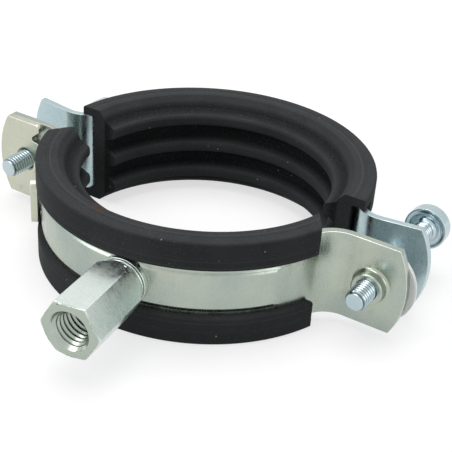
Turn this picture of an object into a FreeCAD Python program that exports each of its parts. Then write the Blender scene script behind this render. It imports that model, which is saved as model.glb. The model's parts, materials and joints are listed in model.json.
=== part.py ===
import FreeCAD, Part
import math
import os

from FreeCAD import Vector

# Rubber lined pipe clamp: two band halves, their linings, a threaded nut and two closing screws.
# Millimetres. The pipe's axis is Z through the origin, at half the height of the lining.
# X runs through the two closures, and -Y is the side that carries the connection nut.

# Pipe and lining section, as radii and heights about the pipe's axis
pipe_radius = 35.5
rib_depth = 3.5
rib_pitch = 9.0
rib_crest_width = 1.6
rib_nose_width = 3.8
rib_nose_height = 1.2
rib_root_width = 6.0
base_wall = 4.5
flange_width = 6.0
flange_bevel_height = 1.6
flange_bevel_width = 1.6
edge_cover = 2.75
lip_thickness = 2.0
lip_height = 8.2
lining_edge_chamfer = 0.7

# Where the linings end: clear of the front bend, or at a distance from the plane of the pipe's axis
front_lip_clearance = 0.9
front_lining_end_inner = 9.3
rear_lining_end = 3.8

# Sheet metal bands
band_width = 25.0
band_thickness = 2.0
front_ear_inner_face = 7.6
rear_ear_inner_face = 2.7
front_bend_radius = 9.0
rear_bend_radius = 8.0
rear_ear_splay_angle = 8.5
ear_margin = 6.5
ear_bulge = 3.3
bead_half_width = 5.0
bead_height = 0.8
bead_flank = 0.8
bead_full_angle = 56.0
bead_end_angle = 62.0

# Closing screws, which stand off the start of the flat ear
screw_stand_off = 6.78
screw_radius = 3.0
screw_length = 45.0
screw_tip_reach = 19.3
screw_tip_chamfer = 0.8
head_radius = 6.2
head_height = 4.8
head_edge_height = 3.3
recess_length = 6.6
recess_width = 1.2
recess_depth = 2.2

# Holes for the screws
thread_clearance = 0.05
rear_hole_radius = 3.3
collar_radius = 4.5
collar_height = 3.0
collar_root_fillet = 0.9
collar_rim_radius = 0.5

# Lock plate on the left closure
lock_thickness = 2.0
lock_collar_height = 1.8
lock_funnel_radius = 4.1
lock_funnel_depth = 1.5
slot_clearance = 0.3
wing_clearance = 1.2
wing_corner_radius = 1.8
wing_edge_length = 0.3
tongue_lip_clearance = 0.35
relief_depth = 1.9
relief_radius = 0.9
tongue_angle = 54.7
tongue_bend_radius = 2.0
tongue_bead_gap = 0.8
tongue_overrun = 4.0
tongue_tip_radius = 2.5

# Retaining disc on the right closure
disc_radius = 11.5
disc_thickness = 1.2
disc_bore_clearance = 0.06

# Connection nut with two threads in line
nut_angle = 7.0
nut_across_flats = 14.5
nut_height = 25.3
nut_mouth_chamfer = 0.5
nut_base_step = 0.35
nut_base_height = 3.6
nut_lip_clearance = 0.1
nut_seat_depth = 1.6
nut_flange_height = 1.3
nut_neck_step = 0.65
nut_neck_height = 1.0
large_thread_radius = 4.25
large_thread_depth = 12.0
large_thread_mouth_radius = 5.5
small_thread_radius = 3.4

# Radii and heights that follow from the sizes above
groove_radius = pipe_radius + rib_depth
band_inner = groove_radius + base_wall
band_middle = band_inner + band_thickness / 2
band_outer = band_inner + band_thickness
bead_outer = band_outer + bead_height
lining_outer = band_outer + lip_thickness
flange_inner = lining_outer - flange_width
half_width = band_width / 2
half_height = half_width + edge_cover
lip_edge = half_height - lip_height
front_ear_middle = front_ear_inner_face + band_thickness / 2
front_ear_outer_face = front_ear_inner_face + band_thickness
rear_ear_middle = rear_ear_inner_face + band_thickness / 2
thread_hole_radius = screw_radius + thread_clearance
tongue_half_width = lip_edge - tongue_lip_clearance

# Where the front band leaves its circle, and the places along X that follow from it
front_bend_centre_radius = band_middle + front_bend_radius
front_bend_centre_y = front_ear_middle + front_bend_radius
front_bend_centre_x = math.sqrt(front_bend_centre_radius ** 2 - front_bend_centre_y ** 2)
front_bend_start_y = band_outer * front_bend_centre_y / front_bend_centre_radius
front_lining_end_outer = front_bend_start_y + front_lip_clearance
wing_inner_reach = front_bend_centre_x + wing_clearance
screw_offset = front_bend_centre_x + screw_stand_off
ear_corner_reach = screw_offset + ear_margin
ear_reach = ear_corner_reach + ear_bulge

X_AXIS = Vector(1, 0, 0)
Y_AXIS = Vector(0, 1, 0)
Z_AXIS = Vector(0, 0, 1)
ORIGIN = Vector(0, 0, 0)
ROUND_INSET = 1 - math.sqrt(0.5)
SAME_PLACE = 0.01


def polar(radius, degrees, z=0.0):
    """A point at a radius and an angle about the pipe's axis."""
    angle = math.radians(degrees)
    return Vector(radius * math.cos(angle), radius * math.sin(angle), z)


def line(start, end):
    return Part.LineSegment(start, end).toShape()


def arc(start, middle, end):
    return Part.Arc(start, middle, end).toShape()


def polygon_face(points):
    """A flat face from its corner points."""
    return Part.Face(Part.makePolygon(points + [points[0]]))


def edge_face(edges):
    """A flat face from edges that follow one another."""
    return Part.Face(Part.Wire(edges))


def plan_prism(points):
    """A tall prism from plan points, for trimming."""
    face = polygon_face([Vector(x, y, -2 * half_height) for x, y in points])
    return face.extrude(Vector(0, 0, 4 * half_height))


def cylinder_y(radius, start_y, end_y, x):
    """A cylinder along Y, centred on a screw's axis."""
    return Part.makeCylinder(radius, end_y - start_y, Vector(x, start_y, 0), Y_AXIS)


# Bands

def bend_centre(ear_middle, bend_radius, splay):
    """Centre of the bend from a band's circle into its ear, whose middle crosses the screw's axis."""
    along = polar(1.0, splay)
    across = polar(1.0, splay + 90)
    rise = Vector(screw_offset, ear_middle, 0).dot(across) + bend_radius
    run = math.sqrt((band_middle + bend_radius) ** 2 - rise ** 2)
    return along * run + across * rise


def band_side_edges(side, ear_middle, bend_radius, splay):
    """Edges of one ear in plan, from the inner to the outer face of the half on the +Y side."""
    centre = bend_centre(ear_middle, bend_radius, splay)
    leave_angle = math.degrees(math.atan2(centre.y, centre.x))
    towards_ear = 270 + splay
    halfway = (leave_angle + 180 + towards_ear) / 2
    convex = bend_radius + band_thickness / 2
    concave = bend_radius - band_thickness / 2
    convex_end = centre + polar(convex, towards_ear)
    concave_start = centre + polar(concave, towards_ear)
    beyond = polar(ear_reach, splay)
    points = {
        "inner_start": polar(band_inner, leave_angle),
        "convex_middle": centre + polar(convex, halfway),
        "convex_end": convex_end,
        "tip_front": convex_end + beyond,
        "tip_rear": concave_start + beyond,
        "concave_start": concave_start,
        "concave_middle": centre + polar(concave, halfway),
        "outer_start": polar(band_outer, leave_angle),
    }
    p = {name: Vector(side * point.x, point.y, 0) for name, point in points.items()}
    edges = [
        arc(p["inner_start"], p["convex_middle"], p["convex_end"]),
        line(p["convex_end"], p["tip_front"]),
        line(p["tip_front"], p["tip_rear"]),
        line(p["tip_rear"], p["concave_start"]),
        arc(p["concave_start"], p["concave_middle"], p["outer_start"]),
    ]
    return edges, p["inner_start"], p["outer_start"]


def ear_outline():
    """Shape of a band seen from the front: straight edges and bowed ear ends."""
    right_top = Vector(ear_corner_reach, 0, half_width)
    right_bottom = Vector(ear_corner_reach, 0, -half_width)
    left_top = Vector(-ear_corner_reach, 0, half_width)
    left_bottom = Vector(-ear_corner_reach, 0, -half_width)
    face = edge_face([
        line(left_bottom, right_bottom),
        arc(right_bottom, Vector(ear_reach, 0, 0), right_top),
        line(right_top, left_top),
        arc(left_top, Vector(-ear_reach, 0, 0), left_bottom),
    ])
    deep = 2 * lining_outer
    face.translate(Vector(0, -deep, 0))
    return face.extrude(Vector(0, 2 * deep, 0))


def bead_bar(outer, widen):
    """The bead's bar about the pipe's axis, on the +Y side, run down to the band at both ends."""
    inner = outer - bead_height
    base = bead_half_width + bead_flank + widen
    top = bead_half_width + widen
    section = polygon_face([
        Vector(inner, 0, -base),
        Vector(outer, 0, -top),
        Vector(outer, 0, top),
        Vector(inner, 0, base),
    ])
    ring = section.revolve(ORIGIN, Z_AXIS, 180)
    ramp_top = polar(outer, 90 - bead_full_angle)
    ramp_foot = polar(inner, 90 - bead_end_angle)
    slope = ramp_top - ramp_foot
    far = ramp_top + slope * 5
    near = ramp_foot - slope * 0.5
    keep = plan_prism([(near.x, near.y), (far.x, far.y), (-far.x, far.y), (-near.x, near.y)])
    return ring.common(keep)


def make_band(ear_middle, bend_radius, splay):
    """A band half on the +Y side, with its pressed bead and two plain ears."""
    right, right_inner, right_outer = band_side_edges(1, ear_middle, bend_radius, splay)
    left, left_inner, left_outer = band_side_edges(-1, ear_middle, bend_radius, splay)
    outer_arc = arc(right_outer, Vector(0, band_outer, 0), left_outer)
    inner_arc = arc(left_inner, Vector(0, band_inner, 0), right_inner)
    face = edge_face(right + [outer_arc] + left[::-1] + [inner_arc])
    face.translate(Vector(0, 0, -half_width))
    band = face.extrude(Vector(0, 0, band_width)).common(ear_outline())
    rise = bead_bar(bead_outer, 0.0)
    hollow = bead_bar(bead_outer - band_thickness, -bead_flank / 2)
    return band.fuse(rise).cut(hollow).removeSplitter()


def front_screw_collar():
    """The drawn collar on the right front ear, with a rounded root."""
    root = -front_ear_outer_face
    fillet = collar_root_fillet
    seat = Vector(collar_radius + fillet, root, 0)
    side = Vector(collar_radius, root - fillet, 0)
    bevel = fillet * ROUND_INSET
    bend = Vector(collar_radius + bevel, root - bevel, 0)
    inside = Vector(0, root + band_thickness / 2, 0)
    rim_y = root - collar_height
    rim_side = Vector(collar_radius, rim_y + collar_rim_radius, 0)
    rim_inset = collar_rim_radius * ROUND_INSET
    rim_bend = Vector(collar_radius - rim_inset, rim_y + rim_inset, 0)
    rim_top = Vector(collar_radius - collar_rim_radius, rim_y, 0)
    section = edge_face([
        line(inside, Vector(seat.x, inside.y, 0)),
        line(Vector(seat.x, inside.y, 0), seat),
        arc(seat, bend, side),
        line(side, rim_side),
        arc(rim_side, rim_bend, rim_top),
        line(rim_top, Vector(0, rim_y, 0)),
        line(Vector(0, rim_y, 0), inside),
    ])
    collar = section.revolve(ORIGIN, Y_AXIS, 360)
    collar.translate(Vector(screw_offset, 0, 0))
    return collar


def make_front_band():
    band = make_band(front_ear_middle, front_bend_radius, 0.0).mirror(ORIGIN, Y_AXIS)
    band = band.fuse(front_screw_collar()).removeSplitter()
    band = band.cut(cylinder_y(thread_hole_radius, -2 * screw_tip_reach, 0, screw_offset))
    slot_radius = collar_radius + slot_clearance
    slot_end = cylinder_y(slot_radius, -2 * front_ear_outer_face, 0, -screw_offset)
    slot_run = Part.makeBox(
        2 * ear_bulge + ear_reach - screw_offset,
        2 * front_ear_outer_face,
        2 * slot_radius,
        Vector(-ear_reach - 2 * ear_bulge, -2 * front_ear_outer_face, -slot_radius),
    )
    return band.cut(slot_end.fuse(slot_run))


def make_rear_band():
    band = make_band(rear_ear_middle, rear_bend_radius, rear_ear_splay_angle)
    start_y = rear_ear_middle - 2 * band_thickness
    end_y = rear_ear_middle + 2 * band_thickness
    for side in (1, -1):
        band = band.cut(cylinder_y(rear_hole_radius, start_y, end_y, side * screw_offset))
    return band


# Linings

def rib_edges(z):
    """One rib of the lining, from its upper to its lower root."""
    nose = pipe_radius + rib_nose_height
    crest = rib_crest_width / 2
    wide = rib_nose_width / 2
    middle = pipe_radius + rib_nose_height * 0.3
    middle_wide = crest + (wide - crest) * 0.75
    return [
        line(Vector(groove_radius, 0, z + rib_root_width / 2), Vector(nose, 0, z + wide)),
        arc(Vector(nose, 0, z + wide), Vector(middle, 0, z + middle_wide), Vector(pipe_radius, 0, z + crest)),
        line(Vector(pipe_radius, 0, z + crest), Vector(pipe_radius, 0, z - crest)),
        arc(Vector(pipe_radius, 0, z - crest), Vector(middle, 0, z - middle_wide), Vector(nose, 0, z - wide)),
        line(Vector(nose, 0, z - wide), Vector(groove_radius, 0, z - rib_root_width / 2)),
    ]


def lining_section():
    """The rubber's section: ribs inside, a channel for the band and two outer lips."""
    bevel_z = half_height - flange_bevel_height
    bevel_r = flange_inner - flange_bevel_width
    chamfer = lining_edge_chamfer
    top = [
        Vector(band_outer, 0, lip_edge),
        Vector(lining_outer - chamfer, 0, lip_edge),
        Vector(lining_outer, 0, lip_edge + chamfer),
        Vector(lining_outer, 0, half_height - chamfer),
        Vector(lining_outer - chamfer, 0, half_height),
        Vector(flange_inner, 0, half_height),
        Vector(bevel_r, 0, bevel_z),
        Vector(groove_radius, 0, rib_pitch + rib_root_width / 2),
    ]
    channel = [
        Vector(band_outer, 0, half_width),
        Vector(band_inner, 0, half_width),
        Vector(band_inner, 0, -half_width),
        Vector(band_outer, 0, -half_width),
    ]
    below = [Vector(point.x, 0, -point.z) for point in reversed(top)]
    edges = [line(a, b) for a, b in zip(top, top[1:])]
    rib_heights = (rib_pitch, 0.0, -rib_pitch)
    for index, z in enumerate(rib_heights):
        if index:
            previous = rib_heights[index - 1] - rib_root_width / 2
            following = z + rib_root_width / 2
            edges.append(line(Vector(groove_radius, 0, previous), Vector(groove_radius, 0, following)))
        edges += rib_edges(z)
    edges += [line(a, b) for a, b in zip(below, below[1:])]
    ring = [below[-1]] + channel[::-1] + [top[0]]
    edges += [line(a, b) for a, b in zip(ring, ring[1:])]
    return edge_face(edges)


def lip_notch(near_y, far_y):
    """The room that the bent ears need, outside the lining's base and between its edges."""
    ring = Part.makeCylinder(2 * lining_outer, band_width, Vector(0, 0, -half_width))
    ring = ring.cut(Part.makeCylinder(band_inner, band_width, Vector(0, 0, -half_width)))
    wide = 2 * lining_outer
    window = Part.makeBox(2 * wide, far_y - near_y, band_width, Vector(-wide, near_y, -half_width))
    return ring.common(window)


def make_front_lining():
    outer_x = math.sqrt(lining_outer ** 2 - front_lining_end_outer ** 2)
    inner_x = math.sqrt(flange_inner ** 2 - front_lining_end_inner ** 2)
    slope = (front_lining_end_outer - front_lining_end_inner) / (outer_x - inner_x)
    wide = 2 * lining_outer
    far_y = -front_lining_end_inner - slope * (wide - inner_x)
    keep = plan_prism([
        (-inner_x, -front_lining_end_inner),
        (-wide, far_y),
        (-wide, far_y - wide),
        (wide, far_y - wide),
        (wide, far_y),
        (inner_x, -front_lining_end_inner),
    ])
    ring = lining_section().revolve(ORIGIN, Z_AXIS, 360)
    return ring.common(keep).cut(lip_notch(-front_lining_end_outer, 0))


def make_rear_lining():
    wide = 2 * lining_outer
    keep = plan_prism([
        (-wide, rear_lining_end),
        (wide, rear_lining_end),
        (wide, wide),
        (-wide, wide),
    ])
    centre = bend_centre(rear_ear_middle, rear_bend_radius, rear_ear_splay_angle)
    bend_start = band_outer * centre.y / centre.Length
    ring = lining_section().revolve(ORIGIN, Z_AXIS, 360)
    return ring.common(keep).cut(lip_notch(0, bend_start))


# Screws, disc and lock plate

def make_screw(side):
    """A pan head screw with a cross recess; its head is on the +Y side."""
    tip_y = -screw_tip_reach
    seat_y = tip_y + screw_length
    top_y = seat_y + head_height
    crown = head_height - head_edge_height
    crown_inset = crown * ROUND_INSET
    shoulder = head_radius - crown
    tip_flat = Vector(screw_radius - screw_tip_chamfer, tip_y, 0)
    section = edge_face([
        line(Vector(0, tip_y, 0), tip_flat),
        line(tip_flat, Vector(screw_radius, tip_y + screw_tip_chamfer, 0)),
        line(Vector(screw_radius, tip_y + screw_tip_chamfer, 0), Vector(screw_radius, seat_y, 0)),
        line(Vector(screw_radius, seat_y, 0), Vector(head_radius, seat_y, 0)),
        line(Vector(head_radius, seat_y, 0), Vector(head_radius, seat_y + head_edge_height, 0)),
        arc(
            Vector(head_radius, seat_y + head_edge_height, 0),
            Vector(head_radius - crown_inset, top_y - crown_inset, 0),
            Vector(shoulder, top_y, 0),
        ),
        line(Vector(shoulder, top_y, 0), Vector(0, top_y, 0)),
        line(Vector(0, top_y, 0), Vector(0, tip_y, 0)),
    ])
    screw = section.revolve(ORIGIN, Y_AXIS, 360)
    for turn in (45, 135):
        blade = polygon_face([
            Vector(-recess_length / 2, top_y, -recess_width / 2),
            Vector(recess_length / 2, top_y, -recess_width / 2),
            Vector(recess_width, top_y - recess_depth, -recess_width / 2),
            Vector(-recess_width, top_y - recess_depth, -recess_width / 2),
        ]).extrude(Vector(0, 0, recess_width))
        blade.rotate(ORIGIN, Y_AXIS, turn)
        screw = screw.cut(blade)
    screw.translate(Vector(side * screw_offset, 0, 0))
    return screw


def make_disc():
    """The plastic disc behind the right front ear."""
    rear_y = -front_ear_inner_face + disc_thickness
    disc = cylinder_y(disc_radius, -front_ear_inner_face, rear_y, screw_offset)
    bore = cylinder_y(screw_radius + disc_bore_clearance, -2 * front_ear_inner_face, 0, screw_offset)
    return disc.cut(bore)


def lock_head():
    """The flat head of the lock plate, with a relief notch at each side of its tongue."""
    wing = -wing_inner_reach
    corner = wing_corner_radius
    lead = Vector(wing, 0, half_width - corner - wing_edge_length)
    notch = Vector(wing - relief_depth, 0, tongue_half_width + relief_radius)
    slant = math.atan2(lead.z - notch.z, lead.x - notch.x)
    leave = slant + math.acos(relief_radius / lead.distanceToPoint(notch))
    halfway = (leave + 1.5 * math.pi) / 2
    lead_end = notch + Vector(math.cos(leave), 0, math.sin(leave)) * relief_radius
    notch_side = notch + Vector(math.cos(halfway), 0, math.sin(halfway)) * relief_radius
    notch_foot = Vector(notch.x, 0, tongue_half_width)
    corner_inset = corner * ROUND_INSET
    upper = [
        line(Vector(-ear_corner_reach, 0, half_width), Vector(wing - corner, 0, half_width)),
        arc(
            Vector(wing - corner, 0, half_width),
            Vector(wing - corner_inset, 0, half_width - corner_inset),
            Vector(wing, 0, half_width - corner),
        ),
        line(Vector(wing, 0, half_width - corner), lead),
        line(lead, lead_end),
        arc(lead_end, notch_side, notch_foot),
        line(notch_foot, Vector(notch.x, 0, 0)),
    ]
    lower = [edge.mirror(ORIGIN, Z_AXIS) for edge in reversed(upper)]
    bow = arc(
        Vector(-ear_corner_reach, 0, -half_width),
        Vector(-ear_reach, 0, 0),
        Vector(-ear_corner_reach, 0, half_width),
    )
    head = edge_face(upper + lower + [bow]).extrude(Vector(0, -lock_thickness, 0))
    head.translate(Vector(0, -front_ear_outer_face, 0))
    return head


def rounded_corner(before, corner, after, radius):
    """Start, middle and end of the arc that rounds a corner of an outline."""
    back = (before - corner).normalize()
    ahead = (after - corner).normalize()
    half_opening = back.getAngle(ahead) / 2
    inset = radius / math.tan(half_opening)
    centre = corner + (back + ahead).normalize() * (radius / math.sin(half_opening))
    middle = centre + (corner - centre).normalize() * radius
    return corner + back * inset, middle, corner + ahead * inset


def lock_tongue():
    """The bent tongue, which lies between the lining's lips and keeps the plate from turning."""
    outward = polar(1.0, 270 - tongue_angle)
    along_leg = Vector(-outward.y, outward.x, 0)
    inside = bead_outer + tongue_bead_gap
    rear_y = -front_ear_outer_face
    front_y = rear_y - lock_thickness

    def corner_at(y, distance):
        """Where the head's face and the leg's face meet."""
        return Vector((distance - y * outward.y) / outward.x, y, 0)

    start_x = -wing_inner_reach - relief_depth - relief_radius
    rear_start = Vector(start_x, rear_y, 0)
    front_start = Vector(start_x, front_y, 0)
    rear_corner = corner_at(rear_y, inside)
    front_corner = corner_at(front_y, inside + lock_thickness)
    inner_end = outward * inside + along_leg * tongue_overrun
    outer_end = inner_end + outward * lock_thickness
    wide = rounded_corner(rear_start, rear_corner, inner_end, tongue_bend_radius + lock_thickness)
    tight = rounded_corner(outer_end, front_corner, front_start, tongue_bend_radius)
    face = edge_face([
        line(rear_start, wide[0]),
        arc(*wide),
        line(wide[2], inner_end),
        line(inner_end, outer_end),
        line(outer_end, tight[0]),
        arc(*tight),
        line(tight[2], front_start),
        line(front_start, rear_start),
    ])
    face.translate(Vector(0, 0, -tongue_half_width))
    tongue = face.extrude(Vector(0, 0, 2 * tongue_half_width))
    tip_edges = []
    for edge in tongue.Edges:
        centre = edge.CenterOfMass
        at_tip = (centre - (inner_end + outer_end) / 2).dot(along_leg) > -SAME_PLACE
        if at_tip and abs(abs(centre.z) - tongue_half_width) < SAME_PLACE:
            tip_edges.append(edge)
    return tongue.makeFillet(tongue_tip_radius, tip_edges)


def make_lock_plate():
    rear_y = -front_ear_outer_face
    plate = lock_head().fuse(lock_tongue())
    collar_end = rear_y + lock_collar_height
    collar = cylinder_y(collar_radius, rear_y - lock_thickness / 2, collar_end, -screw_offset)
    plate = plate.fuse(collar).removeSplitter()
    plate = plate.cut(cylinder_y(thread_hole_radius, -2 * screw_tip_reach, 0, -screw_offset))
    mouth_y = rear_y - lock_thickness
    throat_y = mouth_y + lock_funnel_depth
    outside_y = mouth_y - lock_thickness
    flare_inset = (lock_funnel_radius - thread_hole_radius) * ROUND_INSET
    mouth = Vector(lock_funnel_radius, mouth_y, 0)
    throat = Vector(thread_hole_radius, throat_y, 0)
    throat_side = Vector(thread_hole_radius + flare_inset, mouth_y + lock_funnel_depth * ROUND_INSET, 0)
    funnel = edge_face([
        line(Vector(0, outside_y, 0), Vector(lock_funnel_radius, outside_y, 0)),
        line(Vector(lock_funnel_radius, outside_y, 0), mouth),
        arc(mouth, throat_side, throat),
        line(throat, Vector(0, throat_y, 0)),
        line(Vector(0, throat_y, 0), Vector(0, outside_y, 0)),
    ]).revolve(ORIGIN, Y_AXIS, 360)
    funnel.translate(Vector(-screw_offset, 0, 0))
    return plate.cut(funnel)


# Connection nut

def revolve_about_z(points):
    """A turned solid from radius and height pairs."""
    face = polygon_face([Vector(radius, 0, z) for radius, z in points])
    return face.revolve(ORIGIN, Z_AXIS, 360)


def make_nut(band):
    """Hexagonal nut, built along Z and then laid along its own direction from the band."""
    seat = bead_outer - nut_seat_depth
    flange_top = bead_outer + nut_flange_height
    neck_top = flange_top + nut_neck_height
    mouth = bead_outer + nut_height
    flat = nut_across_flats / 2
    corner = flat / math.cos(math.pi / 6)
    hexagon = polygon_face([polar(corner, 60 * k, neck_top) for k in range(6)])
    body = hexagon.extrude(Vector(0, 0, mouth - neck_top))
    turned = revolve_about_z([
        (0, neck_top),
        (flat - nut_base_step, neck_top),
        (corner, neck_top + nut_base_height),
        (corner, mouth - nut_mouth_chamfer),
        (flat, mouth),
        (0, mouth),
    ])
    flange_radius = lip_edge - nut_lip_clearance
    neck_radius = flange_radius - nut_neck_step
    foot = revolve_about_z([
        (0, seat),
        (flange_radius, seat),
        (flange_radius, flange_top),
        (neck_radius, flange_top),
        (neck_radius, neck_top),
        (0, neck_top),
    ])
    nut = body.common(turned).fuse(foot).removeSplitter()
    step = mouth - large_thread_depth
    lead = large_thread_mouth_radius - large_thread_radius
    beyond = mouth + large_thread_depth
    bore = revolve_about_z([
        (0, 0),
        (small_thread_radius, 0),
        (small_thread_radius, step - (large_thread_radius - small_thread_radius)),
        (large_thread_radius, step),
        (large_thread_radius, mouth - lead),
        (large_thread_mouth_radius, mouth),
        (large_thread_mouth_radius, beyond),
        (0, beyond),
    ])
    nut = nut.cut(bore)
    nut.rotate(ORIGIN, Z_AXIS, 90)
    nut.rotate(ORIGIN, X_AXIS, 90)
    nut.rotate(ORIGIN, Z_AXIS, nut_angle)
    return nut.cut(band)


# Write one file for each piece

def main():
    os.makedirs("parts", exist_ok=True)
    front_band = make_front_band()
    pieces = {
        "front_band": front_band,
        "rear_band": make_rear_band(),
        "front_lining": make_front_lining(),
        "rear_lining": make_rear_lining(),
        "connection_nut": make_nut(front_band),
        "lock_plate": make_lock_plate(),
        "retaining_disc": make_disc(),
        "left_screw": make_screw(-1),
        "right_screw": make_screw(1),
    }
    for name, shape in pieces.items():
        solids = shape.Solids
        print(name, "solids", len(solids), "valid", shape.isValid(), "volume", round(shape.Volume, 1))
        body = solids[0] if len(solids) == 1 else shape
        body.exportStep(os.path.join("parts", name + ".step"))


main()
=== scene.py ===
# %% [markdown]
# A lined pipe clamp is two bands of zinc plated sheet steel that hold a ribbed rubber lining each.
# Two long screws draw the halves together, and a hexagonal nut on the front band takes a threaded rod.
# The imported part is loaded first. It fixes every size and place, so the work here is on the finish:
# small radii on sheared edges, real threads, clean rubber, and materials.

# %% Load the frame
import json
import math
import bmesh
import bpy
from mathutils import Matrix, Vector


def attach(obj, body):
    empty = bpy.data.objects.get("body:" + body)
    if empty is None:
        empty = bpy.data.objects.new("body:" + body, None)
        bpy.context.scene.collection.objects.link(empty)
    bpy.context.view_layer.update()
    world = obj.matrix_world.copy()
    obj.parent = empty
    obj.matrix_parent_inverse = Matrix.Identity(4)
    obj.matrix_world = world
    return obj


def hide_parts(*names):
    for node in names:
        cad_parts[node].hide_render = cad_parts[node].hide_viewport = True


MM = 0.001
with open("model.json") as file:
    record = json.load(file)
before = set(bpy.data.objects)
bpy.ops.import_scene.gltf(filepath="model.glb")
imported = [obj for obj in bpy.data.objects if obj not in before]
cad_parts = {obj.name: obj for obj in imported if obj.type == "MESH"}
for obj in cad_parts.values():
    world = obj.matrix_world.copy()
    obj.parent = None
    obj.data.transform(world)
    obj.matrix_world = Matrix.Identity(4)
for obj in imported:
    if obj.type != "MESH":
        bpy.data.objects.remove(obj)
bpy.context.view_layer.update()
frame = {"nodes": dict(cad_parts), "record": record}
nodes = frame["nodes"]

# %% [markdown]
# A procedural material is a small graph of nodes. Three helpers keep the graphs readable: one adds a node,
# one links an output or sets a plain value, and one adds a sum, a product or another step of arithmetic.

# %% Node helpers
def add_node(tree, kind, **settings):
    node = tree.nodes.new(kind)
    for name, value in settings.items():
        setattr(node, name, value)
    return node


def put(tree, socket, value):
    """Links an output to an input, or sets the input's own value."""
    if isinstance(value, bpy.types.NodeSocket):
        tree.links.new(value, socket)
    else:
        socket.default_value = value


def calc(tree, operation, first, second=0.0):
    node = add_node(tree, "ShaderNodeMath", operation=operation)
    put(tree, node.inputs[0], first)
    put(tree, node.inputs[1], second)
    return node.outputs[0]


def blend(tree, factor, first, second):
    """A colour between two colours."""
    node = add_node(tree, "ShaderNodeMix", data_type="RGBA")
    put(tree, node.inputs[0], factor)
    put(tree, node.inputs[6], first)
    put(tree, node.inputs[7], second)
    return node.outputs[2]


def remap(tree, value, low, high, to_low=0.0, to_high=1.0):
    node = add_node(tree, "ShaderNodeMapRange", clamp=True)
    put(tree, node.inputs["Value"], value)
    node.inputs["From Min"].default_value = low
    node.inputs["From Max"].default_value = high
    node.inputs["To Min"].default_value = to_low
    node.inputs["To Max"].default_value = to_high
    return node.outputs["Result"]


def object_place(tree):
    return add_node(tree, "ShaderNodeTexCoord").outputs["Object"]


def stretched(tree, vector, scale):
    node = add_node(tree, "ShaderNodeMapping")
    put(tree, node.inputs["Vector"], vector)
    node.inputs["Scale"].default_value = scale
    return node.outputs["Vector"]


def noise(tree, vector, scale, detail=3.0, roughness=0.5):
    node = add_node(tree, "ShaderNodeTexNoise")
    put(tree, node.inputs["Vector"], vector)
    node.inputs["Scale"].default_value = scale
    node.inputs["Detail"].default_value = detail
    node.inputs["Roughness"].default_value = roughness
    return node.outputs["Fac"]


def bump(tree, height, strength, distance):
    node = add_node(tree, "ShaderNodeBump")
    node.inputs["Strength"].default_value = strength
    node.inputs["Distance"].default_value = distance
    put(tree, node.inputs["Height"], height)
    return node.outputs["Normal"]


def new_material(name):
    material = bpy.data.materials.new(name)
    material.use_nodes = True
    tree = material.node_tree
    return material, tree, tree.nodes["Principled BSDF"]


print("node helpers ready")

# %% [markdown]
# Zinc plating on sheet steel isn't one grey. The passivation leaves a cloudy tint, pale green-yellow on some
# pieces and bluish on others. The rolled strip below it leaves faint drag marks, and there are a few dark pits.
# All zinc pieces share this, so it is one node group that each material fills with its own tints.

# %% Zinc effect group
def make_zinc_group():
    group = bpy.data.node_groups.new("zinc_effect", "ShaderNodeTree")
    face = group.interface
    for name in ("Tone A", "Tone B", "Stain"):
        face.new_socket(name, in_out="INPUT", socket_type="NodeSocketColor")
    for name in ("Rough Low", "Rough High", "Stain Amount"):
        face.new_socket(name, in_out="INPUT", socket_type="NodeSocketFloat")
    face.new_socket("Color", in_out="OUTPUT", socket_type="NodeSocketColor")
    face.new_socket("Roughness", in_out="OUTPUT", socket_type="NodeSocketFloat")
    face.new_socket("Height", in_out="OUTPUT", socket_type="NodeSocketFloat")
    given = add_node(group, "NodeGroupInput").outputs
    result = add_node(group, "NodeGroupOutput").inputs
    spot = object_place(group)
    cloud = noise(group, spot, 55.0, 3.0, 0.55)
    mottle = noise(group, spot, 260.0, 4.0, 0.6)
    grain = noise(group, spot, 1500.0, 2.0, 0.5)
    drag = noise(group, stretched(group, spot, (1.0, 1.0, 0.12)), 900.0, 3.0, 0.6)
    tone = remap(group, cloud, 0.36, 0.64)
    base = blend(group, tone, given["Tone A"], given["Tone B"])
    pits = calc(group, "MULTIPLY", remap(group, mottle, 0.60, 0.74), given["Stain Amount"])
    put(group, result["Color"], blend(group, pits, base, given["Stain"]))
    spread = remap(group, calc(group, "ADD", mottle, drag), 0.75, 1.25)
    span = calc(group, "SUBTRACT", given["Rough High"], given["Rough Low"])
    put(group, result["Roughness"], calc(group, "ADD", given["Rough Low"], calc(group, "MULTIPLY", spread, span)))
    fine = calc(group, "ADD", calc(group, "MULTIPLY", drag, 0.30), calc(group, "MULTIPLY", grain, 0.15))
    put(group, result["Height"], calc(group, "ADD", fine, calc(group, "MULTIPLY", mottle, 0.4)))
    return group


zinc_group = make_zinc_group()
print("zinc group has", len(zinc_group.nodes), "nodes")

# %% [markdown]
# Sheared sheet has worn, brighter edges. The bevel that rounds an edge knows where it is, so the modelling
# step writes a mask named worn into the corners of the new faces, and the metal reads it here.

# %% Zinc material
WORN_ZINC = (0.66, 0.70, 0.68, 1)


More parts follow.
